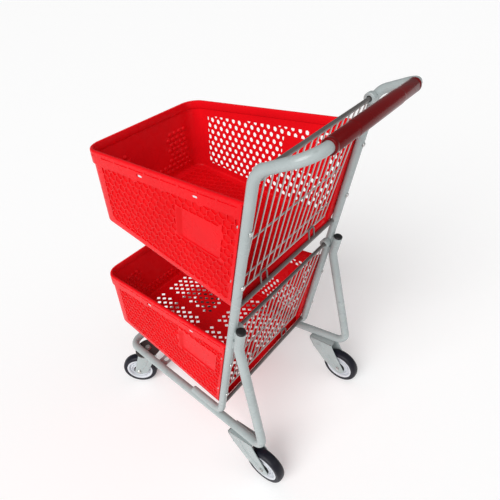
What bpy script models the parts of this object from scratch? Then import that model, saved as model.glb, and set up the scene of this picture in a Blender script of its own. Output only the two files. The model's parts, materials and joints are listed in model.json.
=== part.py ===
"""Rolling basket trolley: two plastic baskets on a bent-tube frame with four wheels.

+X is the direction of travel, +Y is the trolley's left side and +Z is up. The origin is on
the floor, under the middle of the trolley's length and width. All sizes are in metres.
"""

from math import atan2, cos, pi, sin, tan

import bmesh
import bpy
from mathutils import Matrix, Vector

GAP = 0.0003

# Frame: one tube is bent into two stubs, two leaning uprights and the handle.
FRAME_RADIUS = 0.011
FRAME_BORE = 0.0095
UPRIGHT_Y = 0.2226
UPRIGHT_FOOT_X = -0.0243
UPRIGHT_LEAN = 0.281
HANDLE_X = -0.4218
HANDLE_Z = 1.075
HANDLE_CORNER_Y = 0.2070
SHOULDER_Z = 1.036
STUB_LENGTH = 0.125
FOOT_BEND = 0.040
SHOULDER_BEND = 0.052
HANDLE_BEND = 0.046
GRIP_HALF_LENGTH = 0.165
GRIP_RADIUS = 0.0150
GRIP_MIDDLE_RADIUS = 0.0160
GRIP_MIDDLE_HALF_LENGTH = 0.088
GRIP_EDGE = 0.0015
TUBE_SIDES = 12

# Chassis: a second tube makes the front bar, the two rails and the two rear struts.
CHASSIS_RADIUS = 0.0127
CHASSIS_BORE = 0.0110
RAIL_Z = 0.1756
RAIL_REAR = (-0.2468, 0.2362)
RAIL_FRONT = (0.3982, 0.1806)
STRUT_KNEE_Z = 0.545
STRUT_TOP_Z = 0.6085
KNEE_BEND = 0.045
HEEL_BEND = 0.036
FRONT_BEND = 0.040
PLUG_RADIUS = 0.0098
PLUG_DEPTH = 0.018
PLUG_HEIGHT = 0.0055
CROSS_BAR_X = 0.2432
CROSS_BAR_WIDTH = 0.038
CROSS_BAR_END = 0.006
CROSS_BAR_HOLE = 0.009
CROSS_BAR_HOLE_FROM_END = 0.044
PLATE = 0.0033

# Baskets: the same moulding is used twice. Depths are measured down from the rim.
UPPER_RIM_Z = 0.966
LOWER_RIM_Z = 0.522
BASKET_LENGTH = 0.5404
BASKET_HALF_REAR = 0.2228
BASKET_HALF_FRONT = 0.1940
BASKET_DEPTH_REAR = 0.302
BASKET_DEPTH_FRONT = 0.210
BASKET_FRONT_LEAN = 0.0167
BASKET_CORNER = 0.048
BASKET_CORNER_FOOT = 0.034
BASKET_WALL = 0.003
RIM_DEPTH = 0.036
RIM_EDGE = 0.003
RIM_OVERHANG = 0.004
WALL_DRAFT = 0.001
FLOOR_CHAMFER = 0.006
FLANGE_OUTER_Y = 0.2292
FLANGE_INNER_Y = 0.1900
FLANGE_FOOT_Y = 0.2145
FLANGE_FOOT_HEIGHT = 0.045
FLANGE_THICKNESS = 0.004
FLANGE_DRAFT = 0.0006
BOLT_DEPTHS = (0.060, 0.2095)
BOLT_RADIUS = 0.0025
BOLT_HEAD_RADIUS = 0.006
BOLT_HEAD_HEIGHT = 0.0035
NUT_RADIUS = 0.0044
NUT_HEIGHT = 0.005
BOLT_SIDES = 8

# Gates: a welded grid of wires hangs from a rod that turns in two eyes.
UPPER_ROD_Z = 1.026
LOWER_ROD_Z = 0.590
ROD_RADIUS = 0.005
ROD_HALF_LENGTH = 0.2055
GATE_HEIGHT = 0.350
GATE_LEAN = 0.332
GATE_HALF_WIDTH = 0.1838
GATE_WIRES = 16
WIRE = 0.0042
GATE_CROSS_WIRES = (0.185, 0.308)
EYE_RADIUS = 0.0138
EYE_BORE = 0.0068
EYE_INNER_Y = 0.193
UPPER_EYE_TRIM = 0.0014
CROSS_TUBE_RADIUS = 0.0055
CROSS_TUBE_DEPTH = 0.298
CROSS_TUBE_FORWARD = 0.005
STOP_Y = 0.105
STOP_HALF_WIDTH = 0.012
STOP_HEIGHT = 0.030
STOP_WIRE_RADIUS = 0.0025
STOP_BEND = 0.009

# Wheels and casters.
WHEEL_RADIUS = 0.0625
TREAD_HALF_WIDTH = 0.015
TREAD_FLAT_HALF_WIDTH = 0.008
TREAD_SHOULDER_RADIUS = 0.058
RIM_RADIUS = 0.047
WEB_RADIUS = 0.030
WEB_HALF_WIDTH = 0.009
BUSH_RADIUS = 0.022
BUSH_HALF_WIDTH = 0.0172
BUSH_BORE = 0.0048
BUSH_SLEEVE = 0.0085
BUSH_SLEEVE_HALF_LENGTH = 0.0138
WHEEL_SIDES = 20
AXLE_RADIUS = 0.004
AXLE_HEAD_RADIUS = 0.007
AXLE_HEAD_HEIGHT = 0.005
FORK_INNER = 0.018
REAR_AXLE_X = -0.2318
REAR_WHEEL_Y = 0.2246
SWIVEL_X = 0.3392
SWIVEL_Y = 0.1585
TRAIL = 0.0525
SWIVEL_ANGLE = 0.62
SWIVEL_PLATE_RADIUS = 0.046
RACE_RADIUS = 0.032
RACE_HEIGHT = 0.0113
KINGPIN_RADIUS = 0.006
KINGPIN_HEAD_RADIUS = 0.011
KINGPIN_HEAD_HEIGHT = 0.009
KINGPIN_NUT_RADIUS = 0.010
KINGPIN_NUT_HEIGHT = 0.005

RED = (0.80, 0.016, 0.024)
PAINT = (0.62, 0.68, 0.68)
DARK_STEEL = (0.13, 0.12, 0.11)
GRIP_RED = (0.38, 0.008, 0.010)
BLACK = (0.006, 0.006, 0.007)
TREAD = (0.012, 0.012, 0.020)
HUB_GREY = (0.55, 0.57, 0.59)
ZINC = (0.62, 0.62, 0.60)

SIDES = (("left", 1), ("right", -1))


def clear_scene():
    for item in list(bpy.data.objects):
        bpy.data.objects.remove(item, do_unlink=True)


def material(name, colour, roughness, metallic=0.0):
    found = bpy.data.materials.get(name)
    if found:
        return found
    made = bpy.data.materials.new(name)
    made.use_nodes = True
    shader = made.node_tree.nodes["Principled BSDF"]
    shader.inputs["Base Color"].default_value = (*colour, 1.0)
    shader.inputs["Roughness"].default_value = roughness
    shader.inputs["Metallic"].default_value = metallic
    return made


def red_plastic():
    return material("red_plastic", RED, 0.35)


def grey_paint():
    return material("grey_paint", PAINT, 0.35)


def dark_steel():
    return material("dark_steel", DARK_STEEL, 0.4, 0.7)


def zinc():
    return material("zinc", ZINC, 0.35, 1.0)


def black_plastic():
    return material("black_plastic", BLACK, 0.5)


def add_mesh(name, points, faces, finish, sharp=0.6):
    """One named object from points and faces, closed and facing out, round sides smooth."""
    mesh = bpy.data.meshes.new(name)
    mesh.from_pydata([tuple(point) for point in points], [], faces)
    work = bmesh.new()
    work.from_mesh(mesh)
    bmesh.ops.remove_doubles(work, verts=work.verts, dist=1e-6)
    bmesh.ops.recalc_face_normals(work, faces=work.faces)
    work.to_mesh(mesh)
    work.free()
    mesh.shade_smooth()
    mesh.set_sharp_from_angle(angle=sharp)
    if finish:
        mesh.materials.append(finish)
    made = bpy.data.objects.new(name, mesh)
    bpy.context.scene.collection.objects.link(made)
    return made


def hide_cutter(cutter):
    cutter.hide_render = True
    cutter.display_type = "WIRE"


def boolean(target, cutter, operation="DIFFERENCE"):
    hide_cutter(cutter)
    step = target.modifiers.new(cutter.name, "BOOLEAN")
    step.operation = operation
    step.solver = "EXACT"
    step.object = cutter


def loft(rings, closed_ring=True, caps=True, closed_path=False):
    """Points and faces of a skin over rings that all have the same number of points."""
    count = len(rings[0])
    points = [point for ring in rings for point in ring]
    faces = []
    last = len(rings) if closed_path else len(rings) - 1
    for index in range(last):
        here = index * count
        there = (index + 1) % len(rings) * count
        for k in range(count if closed_ring else count - 1):
            n = (k + 1) % count
            faces.append((here + k, here + n, there + n, there + k))
    if caps:
        faces.append(tuple(range(count)))
        faces.append(tuple(range(len(points) - count, len(points))))
    return points, faces


def turned(name, outline, sides, finish, ring=True):
    """A body of revolution about Z. Its outline holds (radius, height) points.

    With ring, the outline closes on itself, round a bore. Without, both ends get a flat cap.
    """
    rings = []
    for radius, height in outline:
        angles = [2 * pi * k / sides for k in range(sides)]
        rings.append([Vector((radius * cos(a), radius * sin(a), height)) for a in angles])
    points, faces = loft(rings, caps=not ring, closed_path=ring)
    return add_mesh(name, points, faces, finish)


def aim(item, place, axis):
    """Puts an object's origin at place, with its own Z along axis."""
    item.location = place
    item.rotation_euler = Vector(axis).to_track_quat("Z", "Y").to_euler()
    return item


def rounded_path(corners, radii, turn=0.35):
    """A path through the corners with each inner corner rounded by an arc."""
    path = [Vector(corners[0])]
    for before, corner, after, radius in zip(corners, corners[1:], corners[2:], radii):
        corner = Vector(corner)
        back = (Vector(before) - corner).normalized()
        on = (Vector(after) - corner).normalized()
        angle = pi - back.angle(on)
        reach = radius * tan(angle / 2)
        start = corner + back * reach
        middle = corner + (back + on).normalized() * (radius / cos(angle / 2))
        axis = (-back).cross(on).normalized()
        steps = max(2, round(angle / turn))
        for k in range(steps + 1):
            spun = Matrix.Rotation(angle * k / steps, 3, axis) @ (start - middle)
            path.append(middle + spun)
    path.append(Vector(corners[-1]))
    return path


def arc_points(centre, radius, start, end, steps):
    angles = [start + (end - start) * k / steps for k in range(steps + 1)]
    return [(centre[0] + radius * cos(a), centre[1] + radius * sin(a)) for a in angles]


def tube_rings(path, radius, sides):
    """Rings along a path, mitred at each bend and without twist from one to the next."""
    legs = [(on - point).normalized() for point, on in zip(path, path[1:])]
    ahead = legs[0]
    side = ahead.orthogonal().normalized()
    rings = []
    for point, into, on in zip(path, [legs[0]] + legs, legs + [legs[-1]]):
        mitre = (into + on).normalized()
        side = ahead.rotation_difference(mitre) @ side
        ahead = mitre
        side = (side - ahead * side.dot(ahead)).normalized()
        other = ahead.cross(side)
        hinge = into.cross(on)
        tilt = ahead.cross(hinge).normalized() if hinge.length > 1e-6 else Vector()
        widen = 1 / into.dot(ahead) - 1
        ring = []
        for k in range(sides):
            angle = 2 * pi * k / sides
            arm = side * cos(angle) + other * sin(angle)
            ring.append(point + (arm + tilt * arm.dot(tilt) * widen) * radius)
        rings.append(ring)
    return rings


def solid_rod(name, path, radius, sides, finish):
    points, faces = loft(tube_rings(path, radius, sides))
    return add_mesh(name, points, faces, finish)


def hollow_tube(name, path, radius, bore, sides, finish):
    """A tube that is open at both ends."""
    outer = tube_rings(path, radius, sides)
    inner = tube_rings(path, bore, sides)
    points, faces = loft(outer, caps=False)
    inner_points, inner_faces = loft(inner, caps=False)
    shift = len(points)
    faces += [tuple(shift + k for k in face) for face in inner_faces]
    for start in (0, shift - sides):
        for k in range(sides):
            n = (k + 1) % sides
            faces.append((start + k, start + n, shift + start + n, shift + start + k))
    return add_mesh(name, points + inner_points, faces, finish)


def extruded(name, outline, low, high, finish):
    """An outline of (x, z) points, extruded along Y from low to high."""
    rings = [[Vector((x, y, z)) for x, z in outline] for y in (low, high)]
    points, faces = loft(rings)
    return add_mesh(name, points, faces, finish)


def block(name, low, high, finish=None):
    outline = ((low[0], low[2]), (high[0], low[2]), (high[0], high[2]), (low[0], high[2]))
    return extruded(name, outline, low[1], high[1], finish)


def upright_x(z):
    """The uprights' centre line: they lean back as they rise."""
    return UPRIGHT_FOOT_X - UPRIGHT_LEAN * z


def rail_y(x):
    slope = (RAIL_REAR[1] - RAIL_FRONT[1]) / (RAIL_REAR[0] - RAIL_FRONT[0])
    return RAIL_REAR[1] + slope * (x - RAIL_REAR[0])


def square_to_uprights():
    """The direction that points forward, square to the uprights."""
    return Vector((1.0, 0.0, UPRIGHT_LEAN)).normalized()


def bolt_places():
    places = []
    for tier, rim in (("upper", UPPER_RIM_Z), ("lower", LOWER_RIM_Z)):
        for row, depth in zip(("top", "bottom"), BOLT_DEPTHS):
            for side, sign in SIDES:
                z = rim - depth
                place = Vector((upright_x(z), sign * UPRIGHT_Y, z))
                places.append((f"{tier}_basket_bolt_{row}_{side}", place))
    return places


def bolt_hole_cutter(name, places):
    """Cylinders along the bolts, long enough to pass right through what they cut."""
    points, faces = [], []
    forward = square_to_uprights()
    reach = 3 * FRAME_RADIUS
    for place in places:
        path = [place - forward * reach, place + forward * reach]
        part_points, part_faces = loft(tube_rings(path, BOLT_RADIUS + 2 * GAP, BOLT_SIDES))
        shift = len(points)
        points += part_points
        faces += [tuple(shift + k for k in face) for face in part_faces]
    return add_mesh(name, points, faces, None)


def make_main_frame():
    stub_z = RAIL_Z + CHASSIS_RADIUS + FRAME_RADIUS + GAP
    foot_x = upright_x(stub_z)
    stub_x = foot_x + STUB_LENGTH
    half = [
        (stub_x, rail_y(stub_x), stub_z),
        (foot_x, UPRIGHT_Y, stub_z),
        (upright_x(SHOULDER_Z), UPRIGHT_Y, SHOULDER_Z),
        (HANDLE_X, HANDLE_CORNER_Y, HANDLE_Z),
    ]
    corners = half + [(x, -y, z) for x, y, z in reversed(half)]
    bends = (FOOT_BEND, SHOULDER_BEND, HANDLE_BEND, HANDLE_BEND, SHOULDER_BEND, FOOT_BEND)
    path = rounded_path(corners, bends)
    frame = hollow_tube("main_frame", path, FRAME_RADIUS, FRAME_BORE, TUBE_SIDES, grey_paint())
    boolean(frame, bolt_hole_cutter("frame_bolt_holes", [place for _, place in bolt_places()]))


def make_grip():
    """A sleeve on the handle, a little thicker over its middle."""
    end, middle, edge = GRIP_HALF_LENGTH, GRIP_MIDDLE_HALF_LENGTH, GRIP_EDGE
    bore = FRAME_RADIUS + GAP
    outline = [
        (bore, -end),
        (GRIP_RADIUS - edge, -end),
        (GRIP_RADIUS, -end + edge),
        (GRIP_RADIUS, -middle),
        (GRIP_MIDDLE_RADIUS, -middle + 2 * edge),
        (GRIP_MIDDLE_RADIUS, middle - 2 * edge),
        (GRIP_RADIUS, middle),
        (GRIP_RADIUS, end - edge),
        (GRIP_RADIUS - edge, end),
        (bore, end),
    ]
    grip = turned("handle_grip", outline, 16, material("grip_red", GRIP_RED, 0.45))
    aim(grip, (HANDLE_X, 0, HANDLE_Z), (0, 1, 0))


def strut_x(z):
    """The struts' upper ends run parallel to the uprights, just behind them."""
    spacing = (CHASSIS_RADIUS + FRAME_RADIUS + 2 * GAP) * (1 + UPRIGHT_LEAN**2) ** 0.5
    return upright_x(z) - spacing


def make_chassis():
    half = [
        (strut_x(STRUT_TOP_Z), UPRIGHT_Y, STRUT_TOP_Z),
        (strut_x(STRUT_KNEE_Z), UPRIGHT_Y, STRUT_KNEE_Z),
        (*RAIL_REAR, RAIL_Z),
        (*RAIL_FRONT, RAIL_Z),
    ]
    corners = half + [(x, -y, z) for x, y, z in reversed(half)]
    bends = (KNEE_BEND, HEEL_BEND, FRONT_BEND, FRONT_BEND, HEEL_BEND, KNEE_BEND)
    path = rounded_path(corners, bends)
    hollow_tube("chassis_tube", path, CHASSIS_RADIUS, CHASSIS_BORE, TUBE_SIDES, grey_paint())
    plug_outline = [
        (PLUG_RADIUS, -PLUG_DEPTH),
        (PLUG_RADIUS, GAP),
        (CHASSIS_RADIUS, GAP),
        (CHASSIS_RADIUS, PLUG_HEIGHT / 2),
        (PLUG_RADIUS, PLUG_HEIGHT),
    ]
    up = Vector((-UPRIGHT_LEAN, 0, 1)).normalized()
    for side, sign in SIDES:
        plug = turned(f"strut_plug_{side}", plug_outline, TUBE_SIDES, black_plastic(), ring=False)
        aim(plug, (strut_x(STRUT_TOP_Z), sign * UPRIGHT_Y, STRUT_TOP_Z), up)


def make_cross_bar():
    """A flat bar under the rails, with a round hole near each end."""
    half_y = rail_y(CROSS_BAR_X) + CROSS_BAR_END
    top = RAIL_Z - CHASSIS_RADIUS - GAP
    low = (CROSS_BAR_X - CROSS_BAR_WIDTH / 2, -half_y, top - PLATE)
    high = (CROSS_BAR_X + CROSS_BAR_WIDTH / 2, half_y, top)
    bar = block("front_cross_bar", low, high, grey_paint())
    for side, sign in SIDES:
        ends = [(CROSS_BAR_HOLE, -2 * PLATE), (CROSS_BAR_HOLE, 2 * PLATE)]
        hole = turned(f"cross_bar_hole_{side}", ends, 12, None, ring=False)
        hole.location = (CROSS_BAR_X, sign * (half_y - CROSS_BAR_HOLE_FROM_END), top)
        boolean(bar, hole)


def cross_tube_place(rim):
    z = rim - CROSS_TUBE_DEPTH
    return upright_x(z) + CROSS_TUBE_FORWARD, z


def make_cross_tubes():
    for tier, rim in (("upper", UPPER_RIM_Z), ("lower", LOWER_RIM_Z)):
        x, z = cross_tube_place(rim)
        reach = UPRIGHT_Y - FRAME_RADIUS - GAP
        path = [Vector((x, reach, z)), Vector((x, -reach, z))]
        solid_rod(f"{tier}_cross_tube", path, CROSS_TUBE_RADIUS, 10, dark_steel())
        for side, sign in SIDES:
            foot = z + CROSS_TUBE_RADIUS + GAP
            y = sign * STOP_Y
            corners = [
                (x, y - STOP_HALF_WIDTH, foot),
                (x, y - STOP_HALF_WIDTH, foot + STOP_HEIGHT),
                (x, y + STOP_HALF_WIDTH, foot + STOP_HEIGHT),
                (x, y + STOP_HALF_WIDTH, foot),
            ]
            loop = rounded_path(corners, (STOP_BEND, STOP_BEND), turn=0.6)
            solid_rod(f"{tier}_gate_stop_{side}", loop, STOP_WIRE_RADIUS, 6, dark_steel())


def basket_depth(x):
    """How far the floor's outside lies below the rim: the floor rises towards the front."""
    rear_x = UPRIGHT_LEAN * BASKET_DEPTH_REAR
    front_x = BASKET_LENGTH - RIM_OVERHANG + BASKET_FRONT_LEAN
    share = (x - rear_x) / (front_x - rear_x)
    return BASKET_DEPTH_REAR + share * (BASKET_DEPTH_FRONT - BASKET_DEPTH_REAR)


def basket_ring(inset, depth_of, flange_y):
    """One level of the basket's U, from the left rear round the front to the right rear.

    inset moves the wall in from the rim's edge, and depth_of gives the depth at each x.
    The two first and two last points belong to the flanges that stand against the uprights.
    """
    share = depth_of(BASKET_LENGTH) / BASKET_DEPTH_FRONT
    front = BASKET_LENGTH - inset + BASKET_FRONT_LEAN * share
    radius = BASKET_CORNER + (BASKET_CORNER_FOOT - BASKET_CORNER) * share - inset
    taper = (BASKET_HALF_REAR - BASKET_HALF_FRONT) / BASKET_LENGTH
    sweep = pi / 2 - atan2(taper, 1.0)

    def side_y(x):
        return BASKET_HALF_REAR - taper * x - inset

    def rear(step):
        guess = 0.0
        for _ in range(6):
            guess = UPRIGHT_LEAN * depth_of(guess + step) + step
        return guess

    centre_x = front - radius
    centre_y = side_y(front) - radius * tan(sweep / 2)
    thick = FLANGE_THICKNESS * (1 + UPRIGHT_LEAN**2) ** 0.5
    wall_start = rear(thick + FLANGE_DRAFT)
    half = [(rear(0.0), flange_y), (rear(thick), flange_y), (wall_start, side_y(wall_start))]
    half += arc_points((centre_x, centre_y), radius, sweep, 0.0, 5)
    whole = half + [(x, -y) for x, y in reversed(half)]
    return [Vector((x, y, -depth_of(x))) for x, y in whole]


def make_basket(tier, rim_z):
    """The basket's shell, open at the top and at the rear, where its gate hangs."""
    wall_outer = RIM_OVERHANG
    wall_inner = RIM_OVERHANG + BASKET_WALL
    low = WALL_DRAFT * BASKET_DEPTH_FRONT

    def level(depth):
        return lambda x: depth

    def above_floor(height):
        return lambda x: basket_depth(x) - height

    outer, inner = FLANGE_OUTER_Y, FLANGE_INNER_Y
    levels = [
        (wall_outer + low + FLOOR_CHAMFER, above_floor(0.0), FLANGE_FOOT_Y - FLOOR_CHAMFER),
        (wall_outer + low, above_floor(FLOOR_CHAMFER), FLANGE_FOOT_Y),
        (wall_outer + low, above_floor(FLANGE_FOOT_HEIGHT), outer),
        (wall_outer, level(RIM_DEPTH), outer),
        (0.0, level(RIM_DEPTH), outer),
        (0.0, level(RIM_EDGE), outer),
        (RIM_EDGE, level(0.0), outer),
        (wall_inner, level(0.0), inner),
        (wall_inner + low, above_floor(FLOOR_CHAMFER + BASKET_WALL), inner),
        (wall_inner + low + FLOOR_CHAMFER, above_floor(BASKET_WALL), inner),
    ]
    rings = [basket_ring(*entry) for entry in levels]
    points, faces = loft(rings, closed_ring=False, caps=False)
    count = len(rings[0])
    last = len(rings) - 1
    faces.append(tuple(range(count)))
    faces.append(tuple(last * count + k for k in range(count)))
    faces.append(tuple(index * count for index in range(len(rings))))
    faces.append(tuple(index * count + count - 1 for index in range(len(rings))))
    faces.append((0, count - 1, last * count + count - 1, last * count))
    shell = add_mesh(f"{tier}_basket", points, faces, red_plastic(), sharp=0.5)
    behind = (FRAME_RADIUS + GAP) * (1 + UPRIGHT_LEAN**2) ** 0.5
    shell.location = (upright_x(rim_z) + behind, 0, rim_z)
    holes = [spot for name, spot in bolt_places() if name.startswith(tier)]
    boolean(shell, bolt_hole_cutter(f"{tier}_basket_holes", holes))


def make_bolts():
    """Each bolt passes through an upright and a basket flange, with its nut in front."""
    head = FRAME_RADIUS + GAP
    flange = FRAME_RADIUS + 2 * GAP + FLANGE_THICKNESS + FLANGE_DRAFT
    outline = [
        (BOLT_RADIUS, -head - BOLT_HEAD_HEIGHT),
        (BOLT_HEAD_RADIUS, -head),
        (BOLT_RADIUS, -head),
        (BOLT_RADIUS, flange),
        (NUT_RADIUS, flange),
        (NUT_RADIUS, flange + NUT_HEIGHT),
    ]
    for name, place in bolt_places():
        bolt = turned(name, outline, BOLT_SIDES, zinc(), ring=False)
        aim(bolt, place, square_to_uprights())


def gate_grid(name, finish):
    """A flat grid of square wires in the plane of X and Z, hanging down from the origin."""
    pitch = 2 * GATE_HALF_WIDTH / (GATE_WIRES - 1)
    columns = []
    for k in range(GATE_WIRES):
        y = -GATE_HALF_WIDTH + k * pitch
        columns += [y - WIRE / 2, y + WIRE / 2]
    top = ROD_RADIUS + GAP
    rows = [-top, -top - WIRE]
    for depth in (*GATE_CROSS_WIRES, GATE_HEIGHT - WIRE / 2):
        rows += [-depth + WIRE / 2, -depth - WIRE / 2]
    points, faces, index = [], [], {}
    for face_x in (-WIRE / 2, WIRE / 2):
        for z in rows:
            for y in columns:
                index[(face_x > 0, z, y)] = len(points)
                points.append(Vector((face_x, y, z)))
    cells = {}
    for i in range(len(columns) - 1):
        for j in range(len(rows) - 1):
            cells[(i, j)] = i % 2 == 0 or j % 2 == 0
    for (i, j), filled in cells.items():
        if not filled:
            continue
        y0, y1, z0, z1 = columns[i], columns[i + 1], rows[j], rows[j + 1]
        for front in (False, True):
            corners = ((z0, y0), (z0, y1), (z1, y1), (z1, y0))
            faces.append(tuple(index[(front, z, y)] for z, y in corners))
        edges = (
            ((i - 1, j), (z0, y0), (z1, y0)),
            ((i + 1, j), (z0, y1), (z1, y1)),
            ((i, j - 1), (z0, y0), (z0, y1)),
            ((i, j + 1), (z1, y0), (z1, y1)),
        )
        for neighbour, first, second in edges:
            if not cells.get(neighbour, False):
                faces.append((index[(False, *first)], index[(False, *second)],
                              index[(True, *second)], index[(True, *first)]))
    return add_mesh(name, points, faces, finish)


def make_gates():
    for tier, z in (("upper", UPPER_ROD_Z), ("lower", LOWER_ROD_Z)):
        x = upright_x(z)
        hinge = bpy.data.objects.new(f"{tier}_gate_hinge", None)
        hinge.location = (x, 0, z)
        bpy.context.scene.collection.objects.link(hinge)
        path = [Vector((0, ROD_HALF_LENGTH, 0)), Vector((0, -ROD_HALF_LENGTH, 0))]
        rod = solid_rod(f"{tier}_gate_rod", path, ROD_RADIUS, 10, dark_steel())
        rod.parent = hinge
        grid = gate_grid(f"{tier}_gate_grid", dark_steel())
        grid.rotation_euler = (0, -GATE_LEAN, 0)
        grid.parent = hinge
        for side, sign in SIDES:
            length = UPRIGHT_Y - FRAME_RADIUS - GAP - EYE_INNER_Y
            if tier == "upper":
                length -= UPPER_EYE_TRIM
            outline = [(EYE_BORE, 0.0), (EYE_RADIUS, 0.0), (EYE_RADIUS, length), (EYE_BORE, length)]
            eye = turned(f"{tier}_gate_eye_{side}", outline, 14, grey_paint())
            aim(eye, (x, sign * EYE_INNER_Y, z), (0, sign, 0))


def mirrored(outline):
    """Adds an outline's other half, seen in the plane where its height is zero."""
    return outline + [(radius, -height) for radius, height in reversed(outline)]


def make_wheel(corner, centre, axis, parent=None):
    """Tyre, hub and bush about one axle, each a turned ring."""
    tyre = [
        (RIM_RADIUS, -TREAD_HALF_WIDTH),
        (TREAD_SHOULDER_RADIUS, -TREAD_HALF_WIDTH),
        (WHEEL_RADIUS, -TREAD_FLAT_HALF_WIDTH),
    ]
    flange_back = BUSH_SLEEVE_HALF_LENGTH - GAP
    hub = [
        (BUSH_SLEEVE + GAP, -flange_back),
        (BUSH_RADIUS, -flange_back),
        (WEB_RADIUS, -WEB_HALF_WIDTH),
        (RIM_RADIUS - GAP, -TREAD_HALF_WIDTH + GAP),
    ]
    bush = [
        (BUSH_BORE, -BUSH_HALF_WIDTH),
        (BUSH_RADIUS, -BUSH_HALF_WIDTH),
        (BUSH_RADIUS, -BUSH_SLEEVE_HALF_LENGTH),
        (BUSH_SLEEVE, -BUSH_SLEEVE_HALF_LENGTH),
    ]
    pieces = (
        ("tyre", tyre, WHEEL_SIDES, material("tread", TREAD, 0.45)),
        ("wheel_hub", hub, WHEEL_SIDES, material("hub_grey", HUB_GREY, 0.4)),
        ("wheel_bush", bush, 12, black_plastic()),
    )
    for name, outline, sides, finish in pieces:
        piece = turned(f"{corner}_{name}", mirrored(outline), sides, finish)
        aim(piece, centre, axis)
        piece.parent = parent


def make_axle_bolt(corner, centre, axis, parent=None):
    outer = FORK_INNER + PLATE + GAP
    outline = [
        (AXLE_HEAD_RADIUS, -outer - AXLE_HEAD_HEIGHT),
        (AXLE_HEAD_RADIUS, -outer),
        (AXLE_RADIUS, -outer),
    ]
    bolt = turned(f"{corner}_axle_bolt", mirrored(outline), 8, zinc(), ring=False)
    aim(bolt, centre, axis)
    bolt.parent = parent


def fork(name, outline, top, axle, finish):
    """A pressed channel: the outline's full width, less the slot that the wheel runs in."""
    outer = FORK_INNER + PLATE
    body = extruded(name, outline, -outer, outer, finish)
    xs = [x for x, _ in outline]
    low = (min(xs) - PLATE, -FORK_INNER, 0.0)
    high = (max(xs) + PLATE, FORK_INNER, top - PLATE)
    slot = block(f"{name}_slot", low, high)
    ends = [(AXLE_RADIUS + GAP, -2 * outer), (AXLE_RADIUS + GAP, 2 * outer)]
    bore = turned(f"{name}_bore", ends, 8, None, ring=False)
    aim(bore, (axle[0], 0, axle[1]), (0, 1, 0))
    slot.parent = body
    bore.parent = body
    boolean(body, slot)
    boolean(body, bore)
    return body


def make_rear_casters():
    """Rigid forks under the rails' rear ends, sloping back to the axles."""
    top = RAIL_Z - CHASSIS_RADIUS - GAP
    axle = (0.0, WHEEL_RADIUS)
    outline = [(0.112, top), (0.112, top - 0.010), (0.092, top - 0.036), (0.047, 0.083)]
    outline += arc_points(axle, 0.017, -0.75, -2.9, 6)
    outline += [(-0.001, 0.100), (0.012, 0.125), (0.024, top - 0.010), (0.024, top)]
    for side, sign in SIDES:
        body = fork(f"rear_{side}_fork", outline, top, axle, grey_paint())
        body.location = (REAR_AXLE_X, sign * REAR_WHEEL_Y, 0)
        centre = (REAR_AXLE_X, sign * REAR_WHEEL_Y, WHEEL_RADIUS)
        make_wheel(f"rear_{side}", centre, (0, 1, 0))
        make_axle_bolt(f"rear_{side}", centre, (0, -sign, 0))


def make_front_casters():
    """A round plate under each rail, a ball race, a kingpin and a fork that swivels on it."""
    plate_top = RAIL_Z - CHASSIS_RADIUS - GAP
    race_top = plate_top - PLATE - GAP
    race_low = race_top - RACE_HEIGHT
    fork_top = race_low - 2 * GAP
    nut_top = fork_top - PLATE - 2 * GAP
    axle = (TRAIL, WHEEL_RADIUS)
    outline = [(-0.030, fork_top), (-0.030, fork_top - 0.008), (0.026, 0.052)]
    outline += arc_points(axle, 0.016, -2.2, 0.2, 5)
    outline += [(0.040, fork_top - 0.010), (0.036, fork_top)]
    bore = KINGPIN_RADIUS + GAP
    disc = [
        (bore, plate_top - PLATE),
        (SWIVEL_PLATE_RADIUS, plate_top - PLATE),
        (SWIVEL_PLATE_RADIUS, plate_top),
        (bore, plate_top),
    ]
    race = [
        (bore, race_low),
        (RACE_RADIUS - 0.004, race_low),
        (RACE_RADIUS, race_low + RACE_HEIGHT / 2),
        (RACE_RADIUS - 0.003, race_top),
        (bore, race_top),
    ]
    pin = [
        (KINGPIN_HEAD_RADIUS, plate_top + KINGPIN_HEAD_HEIGHT),
        (KINGPIN_HEAD_RADIUS, plate_top + GAP),
        (KINGPIN_RADIUS, plate_top + GAP),
        (KINGPIN_RADIUS, nut_top),
        (KINGPIN_NUT_RADIUS, nut_top),
        (KINGPIN_NUT_RADIUS, nut_top - KINGPIN_NUT_HEIGHT),
    ]
    hole_ends = [(bore + GAP, nut_top), (bore + GAP, plate_top)]
    centre = (TRAIL, 0, WHEEL_RADIUS)
    for side, sign in SIDES:
        spot = Vector((SWIVEL_X, sign * SWIVEL_Y, 0))
        turned(f"front_{side}_caster_plate", disc, 20, grey_paint()).location = spot
        turned(f"front_{side}_swivel_race", race, 16, zinc()).location = spot
        turned(f"front_{side}_kingpin", pin, 10, zinc(), ring=False).location = spot
        swivel = bpy.data.objects.new(f"front_{side}_swivel_axis", None)
        swivel.location = spot
        swivel.rotation_euler = (0, 0, sign * SWIVEL_ANGLE)
        bpy.context.scene.collection.objects.link(swivel)
        name = f"front_{side}_swivel_fork"
        body = fork(name, outline, fork_top, axle, grey_paint())
        body.parent = swivel
        hole = turned(f"{name}_hole", hole_ends, 12, None, ring=False)
        hole.parent = body
        boolean(body, hole)
        make_wheel(f"front_{side}", centre, (0, 1, 0), swivel)
        make_axle_bolt(f"front_{side}", centre, (0, -sign, 0), swivel)


def build():
    clear_scene()
    make_main_frame()
    make_grip()
    make_chassis()
    make_cross_bar()
    make_cross_tubes()
    make_basket("upper", UPPER_RIM_Z)
    make_basket("lower", LOWER_RIM_Z)
    make_bolts()
    make_gates()
    make_rear_casters()
    make_front_casters()


build()
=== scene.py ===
"""The looks of the rolling basket trolley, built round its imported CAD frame.

Frame: +X forward, +Y the cart's left, +Z up, origin on the floor. Units are metres.
"""

import json

from math import atan2, cos, pi, sin, sqrt, tan

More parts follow.
